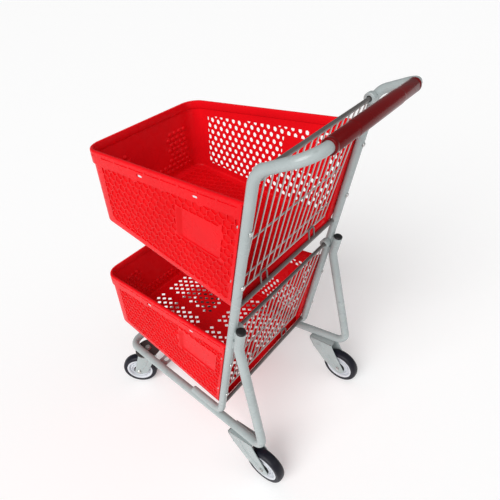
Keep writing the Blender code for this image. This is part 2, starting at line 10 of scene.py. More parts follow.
import bmesh
import bpy
from mathutils import Matrix, Vector
from mathutils.geometry import delaunay_2d_cdt

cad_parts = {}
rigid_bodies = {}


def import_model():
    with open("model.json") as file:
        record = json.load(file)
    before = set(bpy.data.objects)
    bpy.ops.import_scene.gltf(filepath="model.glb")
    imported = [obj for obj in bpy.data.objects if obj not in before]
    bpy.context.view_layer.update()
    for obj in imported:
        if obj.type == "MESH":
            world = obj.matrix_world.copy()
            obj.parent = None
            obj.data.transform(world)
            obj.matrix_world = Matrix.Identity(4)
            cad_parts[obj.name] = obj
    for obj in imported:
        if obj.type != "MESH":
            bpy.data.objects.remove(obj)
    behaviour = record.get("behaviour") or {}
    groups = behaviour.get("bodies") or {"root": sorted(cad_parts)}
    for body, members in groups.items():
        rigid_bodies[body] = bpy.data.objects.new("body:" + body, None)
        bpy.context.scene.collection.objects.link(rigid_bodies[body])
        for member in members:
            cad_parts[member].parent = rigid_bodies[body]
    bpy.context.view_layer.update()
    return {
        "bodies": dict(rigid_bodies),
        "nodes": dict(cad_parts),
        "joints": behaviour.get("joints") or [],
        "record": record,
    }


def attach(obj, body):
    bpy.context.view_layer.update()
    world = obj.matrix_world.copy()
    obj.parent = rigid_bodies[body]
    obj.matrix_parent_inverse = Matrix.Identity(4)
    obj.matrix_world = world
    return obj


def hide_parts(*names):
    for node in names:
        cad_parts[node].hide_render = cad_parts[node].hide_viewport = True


SIDES = (("left", 1), ("right", -1))
GAP = 0.0003

UPRIGHT_FOOT_X = -0.0243
UPRIGHT_LEAN = 0.281
UPRIGHT_Y = 0.2226
LEAN_LENGTH = sqrt(1 + UPRIGHT_LEAN**2)
FRAME_RADIUS = 0.011
CHASSIS_RADIUS = 0.0127
HANDLE_X, HANDLE_Z = -0.4218, 1.075
SHOULDER_Z = 1.036
RAIL_Z = 0.1756
RAIL_REAR = (-0.2468, 0.2362)
RAIL_FRONT = (0.3982, 0.1806)
STRUT_TOP_Z = 0.6085

UPPER_RIM_Z, LOWER_RIM_Z = 0.966, 0.522
BASKET_LENGTH = 0.5404
BASKET_HALF_REAR = 0.2228
TAPER = (0.2228 - 0.1940) / 0.5404
DEPTH_REAR, DEPTH_FRONT = 0.302, 0.210
FRONT_LEAN = 0.0167
WALL_OUTER, WALL_INNER = 0.004, 0.007
WALL = 0.003
WALL_TOP = 0.0350
EDGE_RADIUS = 0.0065
CORNER_STEPS = 14
BOLT_DEPTHS = (0.060, 0.2095)

UPPER_ROD_Z, LOWER_ROD_Z = 1.026, 0.590
GATE_LEAN = 0.332
GATE_HEIGHT = 0.350
GATE_HALF_WIDTH = 0.1838
EYE_INNER_Y = 0.193

WHEEL_RADIUS = 0.0625
REAR_AXLE_X, REAR_WHEEL_Y = -0.2318, 0.2246
SWIVEL_X, SWIVEL_Y = 0.3392, 0.1585
TRAIL = 0.0525
SWIVEL_ANGLE = 0.62
FORK_INNER = 0.018
PLATE = 0.0033
FORK_OUTER = FORK_INNER + PLATE
PLATE_TOP = RAIL_Z - CHASSIS_RADIUS - GAP
RACE_TOP = PLATE_TOP - PLATE - GAP
RACE_LOW = RACE_TOP - 0.0113
FORK_TOP = RACE_LOW - 2 * GAP

CAMERA_PLACE = (-0.7629, 0.7430, 1.3657)
CAMERA_RIGHT = (-0.7800, -0.6164, -0.1080)
CAMERA_UP = (0.2909, -0.5099, 0.8096)
CAMERA_BACK = (-0.5541, 0.6000, 0.5770)
CAMERA_LENS = 32.87


# ---------------------------------------------------------------- materials


FINISHES = {
    "red_plastic": dict(colour=(0.75, 0.005, 0.010), rough=0.27, vary=0.06, grain=900.0,
        bump=0.07, shine=0.09),
    # A darker copy of red_plastic: painted shade for the floors of cells and pads and the sides
    # of the label tray.
    "red_painted_shade": dict(colour=(0.68, 0.003, 0.006), rough=0.38, vary=0.06, grain=900.0,
        bump=0.14, shine=0.05),
    "grip_plastic": dict(colour=(0.14, 0.0015, 0.0025), rough=0.24, vary=0.14, grain=600.0,
        bump=0.05, shine=0.16),
    "grey_paint": dict(colour=(0.365, 0.41, 0.41), rough=0.25, vary=0.07, grain=420.0,
        bump=0.08, wear=(0.24, 0.27, 0.27)),
    "dark_steel": dict(colour=(0.17, 0.155, 0.15), rough=0.40, metallic=0.55, vary=0.16,
        grain=800.0, bump=0.12, wear=(0.30, 0.27, 0.26)),
    # A lighter copy of dark_steel for the thin gate wires: painted highlight where the wires
    # catch the light.
    "gate_wire_painted_highlight": dict(colour=(0.50, 0.47, 0.46), rough=0.34, metallic=0.65, vary=0.12,
        grain=800.0, bump=0.10, wear=(0.34, 0.31, 0.30)),
    "zinc": dict(colour=(0.62, 0.62, 0.61), rough=0.30, metallic=0.95, vary=0.12, grain=900.0,
        bump=0.12),
    "black_plastic": dict(colour=(0.005, 0.005, 0.006), rough=0.45, vary=0.25, grain=700.0,
        bump=0.14),
    "hub_plastic": dict(colour=(0.60, 0.62, 0.66), rough=0.36, vary=0.08, grain=650.0,
        bump=0.10, wear=(0.30, 0.31, 0.33)),
    "tread": dict(colour=(0.007, 0.007, 0.014), rough=0.42, vary=0.25, grain=520.0, bump=0.14,
        wear=(0.016, 0.016, 0.022), shine=0.28),
    # A darkened copy of the metal: painted shade for the caster plate and race, which sit in
    # shade under the rail and basket.
    "shaded_zinc": dict(colour=(0.10, 0.088, 0.086), rough=0.40, metallic=0.6, vary=0.15,
        grain=700.0, bump=0.12, wear=(0.17, 0.15, 0.14)),
}


def finish_for(slot, colour, rough, vary, grain, bump, metallic=0.0, wear=None, shine=0.5):
    """A procedural finish: slow colour drift, fine grain, roughness drift and a light bump."""
    made = bpy.data.materials.new(slot)
    made.use_nodes = True
    tree = made.node_tree
    shader = tree.nodes["Principled BSDF"]
    shader.inputs["Metallic"].default_value = metallic
    shader.inputs["Specular IOR Level"].default_value = shine
    place = tree.nodes.new("ShaderNodeTexCoord")

    def noise(scale, detail):
        node = tree.nodes.new("ShaderNodeTexNoise")
        node.inputs["Scale"].default_value = scale
        node.inputs["Detail"].default_value = detail
        tree.links.new(place.outputs["Object"], node.inputs["Vector"])
        return node

    def ramp(source, low, high, first, second):
        node = tree.nodes.new("ShaderNodeValToRGB")
        ends = node.color_ramp.elements
        for end, position, shade in zip(ends, (low, high), (first, second)):
            end.position = position
            end.color = (*shade, 1.0)
        tree.links.new(source.outputs["Fac"], node.inputs["Fac"])
        return node.outputs["Color"]

    def mixed(first, second, share, kind="MIX"):
        node = tree.nodes.new("ShaderNodeMixRGB")
        node.blend_type = kind
        for name, given in (("Fac", share), ("Color1", first), ("Color2", second)):
            if isinstance(given, (float, tuple)):
                node.inputs[name].default_value = given
            else:
                tree.links.new(given, node.inputs[name])
        return node.outputs["Color"]

    darker = tuple(c * (1 - vary) for c in colour)
    lighter = tuple(min(1.0, c * (1 + vary)) for c in colour)
    tint = ramp(noise(9.0, 4.0), 0.30, 0.72, darker, lighter)
    fine = noise(grain, 3.0)
    tint = mixed(tint, ramp(fine, 0.25, 0.75, (0.94,) * 3, (1.0,) * 3), 1.0, "MULTIPLY")
    if wear:
        patch = ramp(noise(46.0, 9.0), 0.63, 0.72, (0.0,) * 3, (0.55,) * 3)
        tint = mixed(tint, (*wear, 1.0), patch)
    tree.links.new(tint, shader.inputs["Base Color"])

    spread = tree.nodes.new("ShaderNodeMapRange")
    spread.inputs["To Min"].default_value = rough - 0.07
    spread.inputs["To Max"].default_value = rough + 0.09
    tree.links.new(noise(31.0, 5.0).outputs["Fac"], spread.inputs["Value"])
    tree.links.new(spread.outputs["Result"], shader.inputs["Roughness"])

    relief = tree.nodes.new("ShaderNodeBump")
    relief.inputs["Strength"].default_value = bump
    relief.inputs["Distance"].default_value = 0.0004
    tree.links.new(fine.outputs["Fac"], relief.inputs["Height"])
    tree.links.new(relief.outputs["Normal"], shader.inputs["Normal"])
    return made


# ---------------------------------------------------------------- shapes


class Shape:
    """Points and faces gathered for one piece."""

    def __init__(self):
        self.points = []
        self.faces = []
        self.second = set()

    def add(self, points, faces, second=False):
        """second marks faces that take the piece's second finish, the darker red of painted
        shade.
        """
        if second:
            self.second.update(range(len(self.faces), len(self.faces) + len(faces)))
        shift = len(self.points)
        self.points += [Vector(point) for point in points]
        self.faces += [tuple(shift + k for k in face) for face in faces]
        return self

    def moved(self, matrix):
        self.points = [matrix @ point for point in self.points]
        return self

    def join(self, other):
        self.second.update(len(self.faces) + k for k in other.second)
        return self.add(other.points, other.faces)


def loft(rings, closed_ring=True, caps=True, closed_path=False):
    count = len(rings[0])
    points = [point for ring in rings for point in ring]
    faces = []
    last = len(rings) if closed_path else len(rings) - 1
    for index in range(last):
        here = index * count
        there = (index + 1) % len(rings) * count
        for k in range(count if closed_ring else count - 1):
            n = (k + 1) % count
            faces.append((here + k, here + n, there + n, there + k))
    if caps:
        faces.append(tuple(range(count)))
        faces.append(tuple(range(len(points) - count, len(points))))
    return points, faces


def cup(rings):
    """A loft that is closed at its last ring only."""
    points, faces = loft(rings, caps=False)
    faces.append(tuple(range(len(points) - len(rings[-1]), len(points))))
    return points, faces


def rounded_path(corners, radii, turn=0.12):
    path = [Vector(corners[0])]
    for before, corner, after, radius in zip(corners, corners[1:], corners[2:], radii):
        corner = Vector(corner)
        back = (Vector(before) - corner).normalized()
        on = (Vector(after) - corner).normalized()
        angle = pi - back.angle(on)
        reach = radius * tan(angle / 2)
        start = corner + back * reach
        middle = corner + (back + on).normalized() * (radius / cos(angle / 2))
        axis = (-back).cross(on).normalized()
        steps = max(3, round(angle / turn))
        for k in range(steps + 1):
            spun = Matrix.Rotation(angle * k / steps, 3, axis) @ (start - middle)
            path.append(middle + spun)
    path.append(Vector(corners[-1]))
    return path


def tube_rings(path, radius, sides):
    legs = [(on - point).normalized() for point, on in zip(path, path[1:])]
    ahead = legs[0]
    side = ahead.orthogonal().normalized()
    rings = []
    for point, into, on in zip(path, [legs[0]] + legs, legs + [legs[-1]]):
        mitre = (into + on).normalized()
        side = ahead.rotation_difference(mitre) @ side
        ahead = mitre
        side = (side - ahead * side.dot(ahead)).normalized()
        other = ahead.cross(side)
        rings.append([point + side * a + other * b
                      for a, b in circle((0.0, 0.0), radius, sides)])
    return rings


def rod(path, radius, sides=14):
    return Shape().add(*loft(tube_rings([Vector(p) for p in path], radius, sides)))


def pipe(path, radius, bore, sides=28):
    """A tube open at both ends, with its wall showing there."""
    outer = tube_rings(path, radius, sides)
    inner = tube_rings(path, bore, sides)
    rings = [inner[0]] + outer + [inner[-1]] + list(reversed(inner))[1:-1]
    return Shape().add(*loft(rings, caps=False, closed_path=True))


def arc_points(centre, radius, start, end, steps):
    angles = [start + (end - start) * k / steps for k in range(steps + 1)]
    return [(centre[0] + radius * cos(a), centre[1] + radius * sin(a)) for a in angles]


def oval(centre, wide, tall, count):
    angles = [2 * pi * k / count for k in range(count)]
    return [(centre[0] + wide * cos(a), centre[1] + tall * sin(a)) for a in angles]


def oblong(x0, x1, y0, y1):
    return [(x0, y0), (x1, y0), (x1, y1), (x0, y1)]


def circle(centre, radius, count):
    return oval(centre, radius, radius, count)


def mirrored(half):
    """Half an outline, then its mirror image in the second coordinate."""
    return half + [(p[0], -p[1], *p[2:]) for p in reversed(half)]


def turned(outline, sides=40, ring=True):
    rings = []
    for radius, height in outline:
        rings.append([Vector((x, y, height)) for x, y in circle((0.0, 0.0), radius, sides)])
    return Shape().add(*loft(rings, caps=not ring, closed_path=ring))


def aimed(shape, place, axis):
    turn = Vector(axis).to_track_quat("Z", "Y").to_matrix().to_4x4()
    return shape.moved(Matrix.Translation(Vector(place)) @ turn)


def bead(place, axis, radius, thick):
    """A small weld bead round a joint between two tubes."""
    rings = []
    for k in range(28):
        angle = 2 * pi * k / 28
        wave = 1.0 + 0.07 * sin(7 * angle) + 0.05 * cos(11 * angle)
        ring = []
        for j in range(8):
            turn = 2 * pi * j / 8
            reach = radius + thick * wave * cos(turn)
            ring.append(Vector((reach * cos(angle), reach * sin(angle),
                                thick * wave * sin(turn))))
        rings.append(ring)
    return aimed(Shape().add(*loft(rings, caps=False, closed_path=True)), place, axis)


def hexagon_head(across, height, dome=0.0008):
    """A six-sided head with a chamfered top, standing on z = 0."""
    flat = across / 2 / cos(pi / 6)
    outline = [(flat, 0.0), (flat, height - dome), (flat * 0.88, height)]
    return turned(outline, 6, ring=False)


def area(ring):
    total = 0.0
    for (x0, y0), (x1, y1) in zip(ring, ring[1:] + ring[:1]):
        total += x0 * y1 - x1 * y0
    return total / 2


def clipped(ring, border):
    """A convex ring cut back to the inside of a border line (point, inward normal)."""
    (px, py), (nx, ny) = border
    result = []
    for a, b in zip(ring, ring[1:] + ring[:1]):
        da = (a[0] - px) * nx + (a[1] - py) * ny
        db = (b[0] - px) * nx + (b[1] - py) * ny
        if da >= 0:
            result.append(a)
        if (da >= 0) != (db >= 0):
            t = da / (da - db)
            result.append((a[0] + t * (b[0] - a[0]), a[1] + t * (b[1] - a[1])))
    return result


def borders_of(ring, offset=0.0):
    """Border lines of a convex ring, each moved inward by the offset."""
    sign = 1 if area(ring) > 0 else -1
    lines = []
    for (x0, y0), (x1, y1) in zip(ring, ring[1:] + ring[:1]):
        length = sqrt((x1 - x0) ** 2 + (y1 - y0) ** 2)
        if length < 1e-9:
            continue
        nx, ny = -(y1 - y0) / length * sign, (x1 - x0) / length * sign
        lines.append(((x0 + nx * offset, y0 + ny * offset), (nx, ny)))
    return lines


def rounded_ring(corners, radius, steps=4):
    """A convex ring with each corner rounded."""
    ring = []
    count = len(corners)
    for k in range(count):
        before, corner, after = corners[k - 1], corners[k], corners[(k + 1) % count]
        a = Vector((before[0] - corner[0], before[1] - corner[1])).normalized()
        b = Vector((after[0] - corner[0], after[1] - corner[1])).normalized()
        half = a.angle(b) / 2
        reach = min(radius / tan(half), 0.45 * min(
            (Vector(before) - Vector(corner)).length, (Vector(after) - Vector(corner)).length))
        start = Vector(corner) + a * reach
        end = Vector(corner) + b * reach
        for j in range(steps + 1):
            t = j / steps
            point = (1 - t) ** 2 * start + 2 * t * (1 - t) * Vector(corner) + t**2 * end
            ring.append((point.x, point.y))
    return ring


def shrunk(ring, factor, factor_v=None):
    cx = sum(p[0] for p in ring) / len(ring)
    cy = sum(p[1] for p in ring) / len(ring)
    tall = factor if factor_v is None else factor_v
    return [(cx + (x - cx) * factor, cy + (y - cy) * tall) for x, y in ring]


def inside_ring(point, ring):
    odd = False
    for (x0, y0), (x1, y1) in zip(ring, ring[1:] + ring[:1]):
        if (y0 > point[1]) != (y1 > point[1]):
            if point[0] < (x1 - x0) * (point[1] - y0) / (y1 - y0) + x0:
                odd = not odd
    return odd


def filled(outline, holes, bent):
    """Triangles of an outline with convex holes left out; bent says that it isn't convex."""
    points, edges, owner = [], [], []
    for number, ring in enumerate([outline] + holes):
        start = len(points)
        points += [Vector(p) for p in ring]
        owner += [number] * len(ring)
        edges += [(start + k, start + (k + 1) % len(ring)) for k in range(len(ring))]
    result = delaunay_2d_cdt(points, edges, [], 0, 1e-9)
    spots, faces, sources = result[0], result[2], result[3]
    owners = [owner[s[0]] if s else 0 for s in sources]
    kept = []
    for face in faces:
        found = {owners[k] for k in face}
        if len(found) == 1 and 0 not in found:
            continue
        middle = sum((spots[k] for k in face), Vector((0, 0))) / len(face)
        if not bent or inside_ring(middle, outline):
            kept.append(tuple(face))
    return [(p.x, p.y) for p in spots], kept


def levels_of(place, *rings):
    """Each (ring, depth) placed on the wall."""
    return [[place(u, v, depth) for u, v in ring] for ring, depth in rings]


def skin(place, outline, holes, depth, bent=False):
    """One face of a wall, with its holes."""
    spots, faces = filled(outline, holes, bent)
    return [place(u, v, depth) for u, v in spots], faces


def slab(outline, holes, place, thick, bent=False):
    """A plate: place(u, v, depth) puts each point; depth 0 is its outside."""
    shape = Shape()
    for depth in (0.0, thick):
        shape.add(*skin(place, outline, holes, depth, bent))
    for ring in [outline] + holes:
        shape.add(*loft(levels_of(place, (ring, 0.0), (ring, thick)), caps=False))
    return shape


def flat_xz(y, sign=1):
    return lambda u, v, depth: Vector((u, y + sign * depth, v))


# ---------------------------------------------------------------- pieces


class Maker:
    def __init__(self, frame):
        self.nodes = frame["nodes"]
        self.finishes = {slot: finish_for(slot, **facts) for slot, facts in FINISHES.items()}
        self.home = {}
        for body, members in frame["record"]["behaviour"]["bodies"].items():
            for node in members:
                self.home[node] = body
        self.covered = set()

    def piece(self, name, shape, slot, nodes=(), body=None, sharp=0.6, bevel=0.0, look=None):
        mesh = bpy.data.meshes.new(name)
        mesh.from_pydata([tuple(point) for point in shape.points], [], shape.faces)
        for k in shape.second:
            mesh.polygons[k].material_index = 1
        work = bmesh.new()
        work.from_mesh(mesh)
        bmesh.ops.remove_doubles(work, verts=work.verts, dist=2e-6)
        bmesh.ops.recalc_face_normals(work, faces=work.faces)
        work.to_mesh(mesh)
        work.free()
        mesh.shade_smooth()
        mesh.set_sharp_from_angle(angle=sharp)
        mesh.materials.append(self.finishes[look or slot])
        # the second finish is the darker red: painted shade in recesses
        if shape.second:
            mesh.materials.append(self.finishes["red_painted_shade"])
        made = bpy.data.objects.new(name, mesh)
        bpy.context.scene.collection.objects.link(made)
        if bevel:
            step = made.modifiers.new("edges", "BEVEL")
            step.width = bevel
            step.segments = 2
            step.limit_method = "ANGLE"
            step.angle_limit = 0.6
            step.harden_normals = True
        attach(made, body or self.home[nodes[0]])
        if nodes:
            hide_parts(*nodes)
            self.covered.update(nodes)
        return made


def upright_x(z):
    return UPRIGHT_FOOT_X - UPRIGHT_LEAN * z


def rail_y(x):
    slope = (RAIL_REAR[1] - RAIL_FRONT[1]) / (RAIL_REAR[0] - RAIL_FRONT[0])
    return RAIL_REAR[1] + slope * (x - RAIL_REAR[0])


def strut_x(z):
    return upright_x(z) - (CHASSIS_RADIUS + FRAME_RADIUS + 2 * GAP) * LEAN_LENGTH


def across_uprights():
    return Vector((1.0, 0.0, UPRIGHT_LEAN)).normalized()


def along_uprights():
    return Vector((-UPRIGHT_LEAN, 0.0, 1.0)).normalized()


def make_frame(maker):
    stub_z = RAIL_Z + CHASSIS_RADIUS + FRAME_RADIUS + GAP
    foot_x = upright_x(stub_z)
    stub_x = foot_x + 0.125
    half = [
        (stub_x, rail_y(stub_x), stub_z),
        (foot_x, UPRIGHT_Y, stub_z),
        (upright_x(SHOULDER_Z), UPRIGHT_Y, SHOULDER_Z),
        (HANDLE_X, 0.2070, HANDLE_Z),
    ]
    path = rounded_path(mirrored(half), (0.040, 0.052, 0.046, 0.046, 0.052, 0.040))
    maker.piece("main_frame_tube", pipe(path, FRAME_RADIUS, 0.0095), "grey_paint", ["main_frame"])

    half = [
        (strut_x(STRUT_TOP_Z), UPRIGHT_Y, STRUT_TOP_Z),
        (strut_x(0.545), UPRIGHT_Y, 0.545),
        (*RAIL_REAR, RAIL_Z),
        (*RAIL_FRONT, RAIL_Z),
    ]
    path = rounded_path(mirrored(half), (0.045, 0.036, 0.040, 0.040, 0.036, 0.045))
    tube = pipe(path, CHASSIS_RADIUS, 0.0110)
    maker.piece("chassis_rails", tube, "grey_paint", ["chassis_tube"])

    welds = Shape()
    for _, sign in SIDES:
        for z in (STRUT_TOP_Z - 0.012, STRUT_TOP_Z - 0.050):
            spot = Vector((upright_x(z), sign * UPRIGHT_Y, z))
            spot -= across_uprights() * (FRAME_RADIUS + GAP)
            for reach in (-0.0045, 0.0045):
                run = [spot + along_uprights() * ((k - 4) / 4) * 0.013
                       + Vector((0, sign * reach, 0)) + across_uprights() * 0.0002 * (k % 2)
                       for k in range(9)]
                welds.join(rod(run, 0.0024, 8))
        for shift in (-0.030, 0.020, 0.066):
            x = foot_x + 0.045 + shift
            spot = Vector((x, rail_y(x), RAIL_Z + CHASSIS_RADIUS))
            for reach in (-0.0045, 0.0045):
                run = [spot + Vector((t * 0.009, sign * reach, 0.0002 * (abs(t) < 1)))
                       for t in (-1.0, -0.5, 0.0, 0.5, 1.0)]
                welds.join(rod(run, 0.0024, 8))
    maker.piece("frame_welds", welds, "grey_paint", body="frame")

    plug = [(0.0096, -0.018), (0.0096, 0.0004), (0.0126, 0.0004), (0.0126, 0.0024),
            (0.0120, 0.0036), (0.0104, 0.0048), (0.0070, 0.0054)]
    for side, sign in SIDES:
        shape = turned(plug, 32, ring=False)
        aimed(shape, (strut_x(STRUT_TOP_Z), sign * UPRIGHT_Y, STRUT_TOP_Z), along_uprights())
        maker.piece(f"strut_cap_{side}", shape, "black_plastic", [f"strut_plug_{side}"])


def make_grip(maker):
    end, middle = 0.165, 0.088
    bore = FRAME_RADIUS + 0.0002
    half = [
        (bore, end), (0.0142, end), (0.0148, end - 0.0006), (0.0150, end - 0.0018),
        (0.0150, end - 0.0070), (0.0146, end - 0.0080), (0.0146, end - 0.0092),
        (0.0150, end - 0.0102), (0.0150, middle + 0.0022), (0.0152, middle + 0.0008),
        (0.0158, middle - 0.0012), (0.0160, middle - 0.0030),
    ]
    shape = aimed(turned(mirrored(half), 56), (HANDLE_X, 0, HANDLE_Z), (0, 1, 0))
    maker.piece("grip_sleeve", shape, "grip_plastic", ["handle_grip"], sharp=0.9)


def make_cross_bar(maker):
    x0, half_y = 0.2432, rail_y(0.2432) + 0.006
    corners = oblong(x0 - 0.019, x0 + 0.019, -half_y, half_y)
    holes = [circle((x0, sign * (half_y - 0.044)), 0.009, 36) for _, sign in SIDES]
    shape = slab(rounded_ring(corners, 0.005), holes,
                 lambda u, v, depth: Vector((u, v, PLATE_TOP - depth)), PLATE)
    maker.piece("cross_bar", shape, "grey_paint", ["front_cross_bar"], bevel=0.0005)


def make_cross_tubes(maker):
    for tier, rim in (("upper", UPPER_RIM_Z), ("lower", LOWER_RIM_Z)):
        z = rim - 0.298
        x = upright_x(z) + 0.005
        reach = UPRIGHT_Y - FRAME_RADIUS + 0.001
        shape = rod([(x, reach, z), (x, -reach, z)], 0.0055, 28)
        for _, sign in SIDES:
            shape.join(bead((x, sign * (reach - 0.0012), z), (0, 1, 0), 0.0056, 0.0013))
        maker.piece(f"{tier}_tube", shape, "dark_steel", [f"{tier}_cross_tube"], sharp=0.9)
        for side, sign in SIDES:
            foot = z + 0.0040
            y = sign * 0.105
            corners = [(x, y - 0.012, foot), (x, y - 0.012, z + 0.0358),
                       (x, y + 0.012, z + 0.0358), (x, y + 0.012, foot)]
            loop = rod(rounded_path(corners, (0.009, 0.009)), 0.0025, 14)
            for step in (-0.012, 0.012):
                loop.join(bead((x, y + step, z + 0.0056), (0, 0, 1), 0.0024, 0.0009))
            maker.piece(f"{tier}_stop_{side}", loop, "dark_steel", [f"{tier}_gate_stop_{side}"],
                        sharp=0.9)


# ---------------------------------------------------------------- baskets


def floor_depth(x):
    """Depth of the floor's outside below the rim."""
    rear_x = UPRIGHT_LEAN * DEPTH_REAR
    front_x = BASKET_LENGTH - 0.004 + FRONT_LEAN
    return DEPTH_REAR + (x - rear_x) / (front_x - rear_x) * (DEPTH_FRONT - DEPTH_REAR)


def level(depth):
    return lambda x: depth


def above_floor(height):
    return lambda x: floor_depth(x) - height


def side_y(x, inset):
    return BASKET_HALF_REAR - TAPER * x - inset


def u_path(inset, depth_of, stations):
    """One level of the U from the left rear, round the front, to the right rear.

    stations are shares (0..1) of the straight side from its rear end to the corner.
    """
    share = depth_of(BASKET_LENGTH) / DEPTH_FRONT
    front = BASKET_LENGTH - inset + FRONT_LEAN * share
    radius = 0.048 - 0.014 * share - inset
    sweep = pi / 2 - atan2(TAPER, 1.0)
    centre_x = front - radius
    centre_y = side_y(front, inset) - radius * tan(sweep / 2)
    rear = 0.0
    for _ in range(6):
        rear = UPRIGHT_LEAN * depth_of(rear) + 0.0015
    arc = arc_points((centre_x, centre_y), radius, sweep, 0.0, CORNER_STEPS)
    half = [(rear + (arc[0][0] - rear) * t, side_y(rear + (arc[0][0] - rear) * t, inset))
            for t in stations]
    half += arc
    inner = half[-1][1]
    half += [(front, inner * (1 - t)) for t in (0.28, 0.34, 0.74, 0.80)]
    return [(x, y, depth_of(x)) for x, y in mirrored(half)]


WINDOWS = ((0.1290, 0.1440), (0.3085, 0.3235))


def rim_stations():
    """Stations along a side: dashes of the groove and the two small windows."""
    length = 0.4945
    cuts = {0.0, length}
    x = 0.016
    dashes = []
    while x + 0.050 < length:
        dashes.append((x, x + 0.0505))
        x += 0.0565
    for a, b in dashes:
        cuts.update((a, a + 0.0008, b - 0.0008, b))
    for window in WINDOWS:
        cuts.update(window)
    return sorted(cuts), dashes, length


def rim_shape():
    """The rounded rim band, with its dashed groove and small windows."""
    places, dashes, length = rim_stations()
    shares = [p / length for p in places]

    def grooved(k, count):
        index = min(k, count - 1 - k)
        return index >= len(places) or any(a + 0.0004 < places[index] < b - 0.0004
                                           for a, b in dashes)

    # (inset, depth) from the lower outside edge, over the top, to the inside
    profile = [
        (0.0042, 0.0360), (0.0006, 0.0360), (0.0, 0.0354), (0.0, 0.0290), (0.0, 0.0270),
        (0.0, 0.0205), (0.0, 0.0146), (0.0, 0.0140), (0.0, 0.0108), (0.0, 0.0102),
        (0.0, 0.0052), (0.0004, 0.0030), (0.0013, 0.0013), (0.0028, 0.0003), (0.0050, 0.0),
        (0.0070, 0.0003), (0.0086, 0.0016), (0.0092, 0.0034), (0.0094, 0.0205),
        (0.0086, 0.0224), (0.0070, 0.0236), (0.0070, WALL_TOP),
    ]
    groove_rows, window_row = (7, 8), 4
    rings = []
    for row, (inset, depth) in enumerate(profile):
        plain = u_path(inset, level(depth), shares)
        if row in groove_rows:
            deep = u_path(inset + 0.0017, level(depth), shares)
            plain = [d if grooved(k, len(plain)) else p
                     for k, (p, d) in enumerate(zip(plain, deep))]
        rings.append(plain)
    count = len(rings[0])
    points = [p for ring in rings for p in ring]
    spans = []
    for a, b in WINDOWS:
        first = places.index(a)
        spans += [first, count - 2 - first]
    faces = []
    for row in range(len(rings) - 1):
        for k in range(count - 1):
            if row == window_row and k in spans:
                continue
            faces.append((row * count + k, row * count + k + 1,
                          (row + 1) * count + k + 1, (row + 1) * count + k))
    for k in spans:
        corner = window_row * count + k
        outer = [corner, corner + 1, corner + count + 1, corner + count]
        start = len(points)
        for index in outer:
            x, y, depth = points[index]
            points.append((x, y - (0.003 if y > 0 else -0.003), depth))
        for j in range(4):
            n = (j + 1) % 4
            faces.append((outer[j], outer[n], start + n, start + j))
        faces.append(tuple(range(start, start + 4)))
    for k in (0, count - 1):
        faces.append(tuple(row * count + k for row in range(len(rings))))
    return Shape().add(points, faces)


HEX_PITCH = 0.0216
HEX_ROW = 0.0187
HEX_SLOPE = -0.17


def hexagon(cx, cy, radius, lean):
    ring = []
    for k in range(6):
        a = pi / 6 + pi / 3 * k + atan2(lean, 1.0)
        ring.append((cx + radius * cos(a), cy + radius * sin(a)))
    return ring


def honeycomb(region, keep_out, radius):
    """Hexagons over a convex region, cut back at its borders and at the keep-out ring."""
    lines = borders_of(region, 0.0016)
    outer_lines = [(p, (-n[0], -n[1])) for p, n in borders_of(keep_out, -0.0022)]
    along = Vector((1.0, HEX_SLOPE)).normalized()
    up = Vector((-along.y, along.x))
    cells = []
    full = abs(area(hexagon(0, 0, radius, 0)))
    for row in range(-24, 25):
        for column in range(-24, 25):
            shift = column + (0.5 if row % 2 else 0.0)
            spot = Vector((0.30, 0.12)) + along * shift * HEX_PITCH + up * row * HEX_ROW
            ring = hexagon(spot.x, spot.y, radius, HEX_SLOPE)
            for line in lines:
                ring = clipped(ring, line) if ring else ring
            if len(ring) < 3:
                continue
            inside = [sum((spot[i] - p[i]) * n[i] for i in (0, 1)) for p, n in outer_lines]
            best = max(range(len(inside)), key=lambda i: inside[i])
            if inside[best] < -radius:
                continue
            if inside[best] < radius * 1.2:
                ring = clipped(ring, outer_lines[best])
            if len(ring) < 3 or abs(area(ring)) < 0.22 * full:
                continue
            tidy = []
            for point in ring:
                if not tidy or (Vector(point) - Vector(tidy[-1])).length > 0.0006:
                    tidy.append(point)
            if (Vector(tidy[0]) - Vector(tidy[-1])).length < 0.0006:
                tidy.pop()
            if len(tidy) < 3:
                continue
            cells.append(rounded_ring(tidy, 0.0022, 2))
    return cells


def pierced(outline, cells, label, place, blind):
    """A wall whose outside has shallow cells, each with a smaller hole right through.

    With blind, the cells have closed floors and the inside is plain.
    """
    recess = 0.0022
    shape = Shape()
    holes = [] if blind else [shrunk(ring, 0.50, 0.64) for ring in cells]
    shape.add(*skin(place, outline, cells + [label], 0.0))
    shape.add(*skin(place, outline, holes, WALL))
    for k, ring in enumerate(cells):
        levels = levels_of(place, (ring, 0.0), (shrunk(ring, 0.86), recess))
        if blind:
            # the closed cells take the darker red: painted shade in their recesses
            shape.add(*cup(levels), second=True)
        else:
            levels += levels_of(place, (holes[k], recess), (holes[k], WALL))
            shape.add(*loft(levels, caps=False))
    return shape


def wall_edge(inset, depth_of):
    """(x, depth) of the rear end and of the corner's start, on one level of a side wall."""
    path = u_path(inset, depth_of, [0.0, 1.0])
    return (path[0][0], path[0][2]), (path[1][0], path[1][2])


LABELS = {
    "upper": [(0.1993, 0.0708), (0.0791, 0.0822), (0.1028, 0.1691), (0.2195, 0.1499)],
    "lower": [(0.1890, 0.0600), (0.0560, 0.0710), (0.0800, 0.1590), (0.2090, 0.1400)],
}


